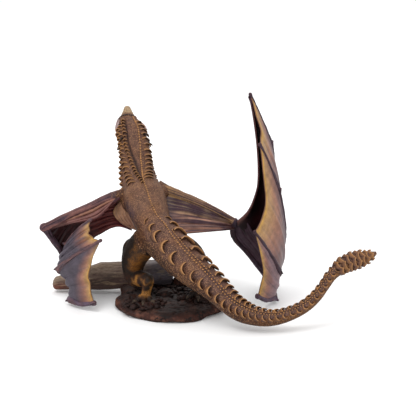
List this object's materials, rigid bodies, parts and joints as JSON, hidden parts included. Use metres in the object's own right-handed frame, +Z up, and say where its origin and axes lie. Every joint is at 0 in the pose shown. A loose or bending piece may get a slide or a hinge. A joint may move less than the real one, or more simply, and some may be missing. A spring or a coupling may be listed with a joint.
{
  "type": "dragon statue",
  "caption": "Winged dragon figure seen crouching with folded wings, raised neck and a long plated tail, on a rock mound with a fallen log.",
  "frame": {"origin": "middle of the mound's flat underside, on the surface that the statue stands on", "axes": "+Z up; +X towards the raised right wing and the tail's tip, along the statue's length; +Y the way the dragon faces"},
  "size_m": [0.3315, 0.1859, 0.2231],
  "materials": {
    "painted_hide": "hand painted cast resin, grey-brown hide dry-brushed with gold",
    "painted_rock": "hand painted cast resin, dark red-brown rock and grey-brown wood"
  },
  "bodies": {
    "root": {"dragon": "painted_hide", "rock_base": "painted_rock"}
  },
  "joints": []
}
